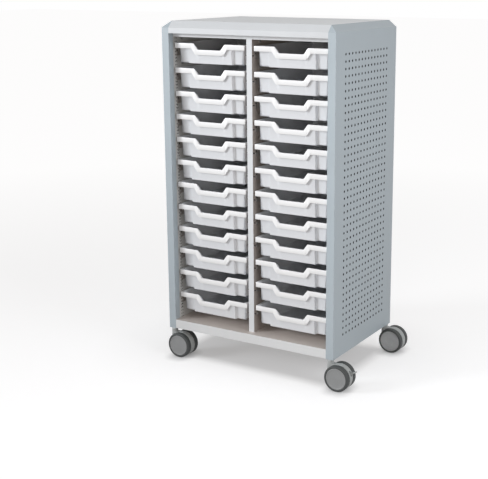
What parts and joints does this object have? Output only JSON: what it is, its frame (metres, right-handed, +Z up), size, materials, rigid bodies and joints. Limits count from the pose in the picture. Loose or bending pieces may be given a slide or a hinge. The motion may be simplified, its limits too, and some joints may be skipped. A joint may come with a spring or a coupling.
{
  "type": "mobile tray storage unit",
  "caption": "Mobile steel cabinet with two columns of shallow pull-out plastic trays, perforated sides and twin-wheel swivel castors.",
  "frame": {"origin": "on the floor, under the middle of the whole footprint, castors and brake levers included", "axes": "+Z up, -Y towards the front where the trays pull out, +X to the right seen from the front"},
  "size_m": [0.8206, 0.528, 1.304],
  "materials": {
    "panel_paint": "satin blue-grey powder coat",
    "carcass_paint": "satin light grey powder coat",
    "liner_paint": "satin warm grey powder coat",
    "runner_steel": "zinc-plated",
    "screw_steel": "zinc-plated",
    "tray_plastic": "smooth moulded, slightly glossy, off-white",
    "stem_steel": "zinc-plated",
    "pin_plastic": "moulded black",
    "castor_plastic": "moulded mid grey",
    "wheel_tread": "soft dark grey tread"
  },
  "bodies": {
    "cabinet": {"left_side_panel": "panel_paint", "right_side_panel": "panel_paint", "top_panel": "carcass_paint", "head_liner": "carcass_paint", "back_panel": "liner_paint", "base_pan": "carcass_paint", "left_liner": "liner_paint", "right_liner": "liner_paint", "centre_divider": "carcass_paint", "left_foot_rail": "panel_paint", "right_foot_rail": "panel_paint", "left_wall_runners": "runner_steel", "divider_left_runners": "runner_steel", "divider_right_runners": "runner_steel", "right_wall_runners": "runner_steel", "steel_fixings": "screw_steel", "stop_pins": "pin_plastic", "castor_stems": "stem_steel"},
    "tray_left_01": {"tray_left_01": "tray_plastic"},
    "tray_left_02": {"tray_left_02": "tray_plastic"},
    "tray_left_03": {"tray_left_03": "tray_plastic"},
    "tray_left_04": {"tray_left_04": "tray_plastic"},
    "tray_left_05": {"tray_left_05": "tray_plastic"},
    "tray_left_06": {"tray_left_06": "tray_plastic"},
    "tray_left_07": {"tray_left_07": "tray_plastic"},
    "tray_left_08": {"tray_left_08": "tray_plastic"},
    "tray_left_09": {"tray_left_09": "tray_plastic"},
    "tray_left_10": {"tray_left_10": "tray_plastic"},
    "tray_left_11": {"tray_left_11": "tray_plastic"},
    "tray_left_12": {"tray_left_12": "tray_plastic"},
    "tray_right_01": {"tray_right_01": "tray_plastic"},
    "tray_right_02": {"tray_right_02": "tray_plastic"},
    "tray_right_03": {"tray_right_03": "tray_plastic"},
    "tray_right_04": {"tray_right_04": "tray_plastic"},
    "tray_right_05": {"tray_right_05": "tray_plastic"},
    "tray_right_06": {"tray_right_06": "tray_plastic"},
    "tray_right_07": {"tray_right_07": "tray_plastic"},
    "tray_right_08": {"tray_right_08": "tray_plastic"},
    "tray_right_09": {"tray_right_09": "tray_plastic"},
    "tray_right_10": {"tray_right_10": "tray_plastic"},
    "tray_right_11": {"tray_right_11": "tray_plastic"},
    "tray_right_12": {"tray_right_12": "tray_plastic"},
    "castor_front_left": {"castor_hood_front_left": "castor_plastic", "castor_axle_front_left": "stem_steel"},
    "wheel_front_left_front": {"castor_wheel_front_left_front": "wheel_tread"},
    "wheel_front_left_back": {"castor_wheel_front_left_back": "wheel_tread"},
    "castor_front_right": {"castor_hood_front_right": "castor_plastic", "castor_axle_front_right": "stem_steel"},
    "wheel_front_right_front": {"castor_wheel_front_right_front": "wheel_tread"},
    "wheel_front_right_back": {"castor_wheel_front_right_back": "wheel_tread"},
    "lever_front_right": {"brake_lever_front_right": "castor_plastic"},
    "castor_rear_left": {"castor_hood_rear_left": "castor_plastic", "castor_axle_rear_left": "stem_steel"},
    "wheel_rear_left_front": {"castor_wheel_rear_left_front": "wheel_tread"},
    "wheel_rear_left_back": {"castor_wheel_rear_left_back": "wheel_tread"},
    "lever_rear_left": {"brake_lever_rear_left": "castor_plastic"},
    "castor_rear_right": {"castor_hood_rear_right": "castor_plastic", "castor_axle_rear_right": "stem_steel"},
    "wheel_rear_right_front": {"castor_wheel_rear_right_front": "wheel_tread"},
    "wheel_rear_right_back": {"castor_wheel_rear_right_back": "wheel_tread"}
  },
  "joints": [
    {"name": "tray_left_01_slide", "type": "slide", "parent": "cabinet", "child": "tray_left_01", "axis": [0, -1, 0], "range_m": [0, 0.38]},
    {"name": "tray_left_02_slide", "type": "slide", "parent": "cabinet", "child": "tray_left_02", "axis": [0, -1, 0], "range_m": [0, 0.38]},
    {"name": "tray_left_03_slide", "type": "slide", "parent": "cabinet", "child": "tray_left_03", "axis": [0, -1, 0], "range_m": [0, 0.38]},
    {"name": "tray_left_04_slide", "type": "slide", "parent": "cabinet", "child": "tray_left_04", "axis": [0, -1, 0], "range_m": [0, 0.38]},
    {"name": "tray_left_05_slide", "type": "slide", "parent": "cabinet", "child": "tray_left_05", "axis": [0, -1, 0], "range_m": [0, 0.38]},
    {"name": "tray_left_06_slide", "type": "slide", "parent": "cabinet", "child": "tray_left_06", "axis": [0, -1, 0], "range_m": [0, 0.38]},
    {"name": "tray_left_07_slide", "type": "slide", "parent": "cabinet", "child": "tray_left_07", "axis": [0, -1, 0], "range_m": [0, 0.38]},
    {"name": "tray_left_08_slide", "type": "slide", "parent": "cabinet", "child": "tray_left_08", "axis": [0, -1, 0], "range_m": [0, 0.38]},
    {"name": "tray_left_09_slide", "type": "slide", "parent": "cabinet", "child": "tray_left_09", "axis": [0, -1, 0], "range_m": [0, 0.38]},
    {"name": "tray_left_10_slide", "type": "slide", "parent": "cabinet", "child": "tray_left_10", "axis": [0, -1, 0], "range_m": [0, 0.38]},
    {"name": "tray_left_11_slide", "type": "slide", "parent": "cabinet", "child": "tray_left_11", "axis": [0, -1, 0], "range_m": [0, 0.38]},
    {"name": "tray_left_12_slide", "type": "slide", "parent": "cabinet", "child": "tray_left_12", "axis": [0, -1, 0], "range_m": [0, 0.38]},
    {"name": "tray_right_01_slide", "type": "slide", "parent": "cabinet", "child": "tray_right_01", "axis": [0, -1, 0], "range_m": [0, 0.38]},
    {"name": "tray_right_02_slide", "type": "slide", "parent": "cabinet", "child": "tray_right_02", "axis": [0, -1, 0], "range_m": [0, 0.38]},
    {"name": "tray_right_03_slide", "type": "slide", "parent": "cabinet", "child": "tray_right_03", "axis": [0, -1, 0], "range_m": [0, 0.38]},
    {"name": "tray_right_04_slide", "type": "slide", "parent": "cabinet", "child": "tray_right_04", "axis": [0, -1, 0], "range_m": [0, 0.38]},
    {"name": "tray_right_05_slide", "type": "slide", "parent": "cabinet", "child": "tray_right_05", "axis": [0, -1, 0], "range_m": [0, 0.38]},
    {"name": "tray_right_06_slide", "type": "slide", "parent": "cabinet", "child": "tray_right_06", "axis": [0, -1, 0], "range_m": [0, 0.38]},
    {"name": "tray_right_07_slide", "type": "slide", "parent": "cabinet", "child": "tray_right_07", "axis": [0, -1, 0], "range_m": [0, 0.38]},
    {"name": "tray_right_08_slide", "type": "slide", "parent": "cabinet", "child": "tray_right_08", "axis": [0, -1, 0], "range_m": [0, 0.38]},
    {"name": "tray_right_09_slide", "type": "slide", "parent": "cabinet", "child": "tray_right_09", "axis": [0, -1, 0], "range_m": [0, 0.38]},
    {"name": "tray_right_10_slide", "type": "slide", "parent": "cabinet", "child": "tray_right_10", "axis": [0, -1, 0], "range_m": [0, 0.38]},
    {"name": "tray_right_11_slide", "type": "slide", "parent": "cabinet", "child": "tray_right_11", "axis": [0, -1, 0], "range_m": [0, 0.38]},
    {"name": "tray_right_12_slide", "type": "slide", "parent": "cabinet", "child": "tray_right_12", "axis": [0, -1, 0], "range_m": [0, 0.38]},
    {"name": "castor_front_left_swivel", "type": "hinge", "parent": "cabinet", "child": "castor_front_left", "pos_m": [-0.39325, -0.23, 0.11], "axis": [0, 0, 1], "continuous": true},
    {"name": "wheel_front_left_front_roll", "type": "hinge", "parent": "castor_front_left", "child": "wheel_front_left_front", "pos_m": [-0.35525, -0.25325, 0.049], "axis": [0, 1, 0], "continuous": true},
    {"name": "wheel_front_left_back_roll", "type": "hinge", "parent": "castor_front_left", "child": "wheel_front_left_back", "pos_m": [-0.35525, -0.20675, 0.049], "axis": [0, 1, 0], "continuous": true},
    {"name": "castor_front_right_swivel", "type": "hinge", "parent": "cabinet", "child": "castor_front_right", "pos_m": [0.30475, -0.23, 0.11], "axis": [0, 0, 1], "continuous": true},
    {"name": "wheel_front_right_front_roll", "type": "hinge", "parent": "castor_front_right", "child": "wheel_front_right_front", "pos_m": [0.34275, -0.25325, 0.049], "axis": [0, 1, 0], "continuous": true},
    {"name": "wheel_front_right_back_roll", "type": "hinge", "parent": "castor_front_right", "child": "wheel_front_right_back", "pos_m": [0.34275, -0.20675, 0.049], "axis": [0, 1, 0], "continuous": true},
    {"name": "lever_front_right_press", "type": "hinge", "parent": "castor_front_right", "child": "lever_front_right", "pos_m": [0.37575, -0.23, 0.064], "axis": [0, 1, 0], "range_deg": [0, 14]},
    {"name": "castor_rear_left_swivel", "type": "hinge", "parent": "cabinet", "child": "castor_rear_left", "pos_m": [-0.39325, 0.23, 0.11], "axis": [0, 0, 1], "continuous": true},
    {"name": "wheel_rear_left_front_roll", "type": "hinge", "parent": "castor_rear_left", "child": "wheel_rear_left_front", "pos_m": [-0.35525, 0.20675, 0.049], "axis": [0, 1, 0], "continuous": true},
    {"name": "wheel_rear_left_back_roll", "type": "hinge", "parent": "castor_rear_left", "child": "wheel_rear_left_back", "pos_m": [-0.35525, 0.25325, 0.049], "axis": [0, 1, 0], "continuous": true},
    {"name": "lever_rear_left_press", "type": "hinge", "parent": "castor_rear_left", "child": "lever_rear_left", "pos_m": [-0.32225, 0.23, 0.064], "axis": [0, 1, 0], "range_deg": [0, 14]},
    {"name": "castor_rear_right_swivel", "type": "hinge", "parent": "cabinet", "child": "castor_rear_right", "pos_m": [0.30475, 0.23, 0.11], "axis": [0, 0, 1], "continuous": true},
    {"name": "wheel_rear_right_front_roll", "type": "hinge", "parent": "castor_rear_right", "child": "wheel_rear_right_front", "pos_m": [0.34275, 0.20675, 0.049], "axis": [0, 1, 0], "continuous": true},
    {"name": "wheel_rear_right_back_roll", "type": "hinge", "parent": "castor_rear_right", "child": "wheel_rear_right_back", "pos_m": [0.34275, 0.25325, 0.049], "axis": [0, 1, 0], "continuous": true}
  ]
}
